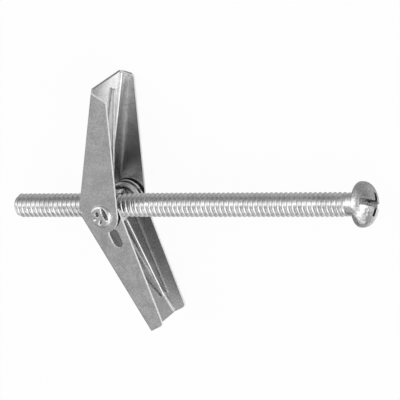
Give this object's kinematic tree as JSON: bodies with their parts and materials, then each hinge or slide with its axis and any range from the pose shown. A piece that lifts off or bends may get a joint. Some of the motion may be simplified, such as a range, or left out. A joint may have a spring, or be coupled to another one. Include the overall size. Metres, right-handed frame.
{
  "type": "spring toggle bolt",
  "caption": "Round head machine screw carrying a trunnion nut with two folded sheet wings that a torsion spring holds open, for fixing to hollow walls.",
  "frame": {"origin": "where the screw's axis crosses the pivot axis of the wings", "axes": "+X along the screw towards its head, +Z along the pivot axis, +Y towards the wide wing"},
  "size_m": [0.0803, 0.0515, 0.0138],
  "materials": {
    "screw_zinc": "bright zinc plated steel",
    "nut_zinc": "zinc plated steel, dull from staking",
    "wing_zinc": "zinc plated sheet steel, bright at the cut edges",
    "spring_wire": "drawn spring wire, bright"
  },
  "bodies": {
    "screw": {"machine_screw": "screw_zinc"},
    "nut": {"trunnion_nut": "nut_zinc", "torsion_spring": "spring_wire"},
    "wide wing": {"wide_wing": "wing_zinc"},
    "narrow wing": {"narrow_wing": "wing_zinc"}
  },
  "joints": [
    {"name": "nut_travel", "type": "slide", "parent": "screw", "child": "nut", "axis": [1, 0, 0], "range_m": [-0.017, 0.026]},
    {"name": "wide_wing_hinge", "type": "hinge", "parent": "nut", "child": "wide wing", "pos_m": [0, 0, 0], "axis": [0, 0, 1], "range_deg": [-74, 0], "stiffness_Nm_per_rad": 0.05, "springref_deg": 28.65, "deforming": ["torsion_spring"]},
    {"name": "narrow_wing_hinge", "type": "hinge", "parent": "nut", "child": "narrow wing", "pos_m": [0, 0, 0], "axis": [0, 0, 1], "range_deg": [0, 68.5], "stiffness_Nm_per_rad": 0.05, "springref_deg": -28.65, "deforming": ["torsion_spring"]}
  ]
}
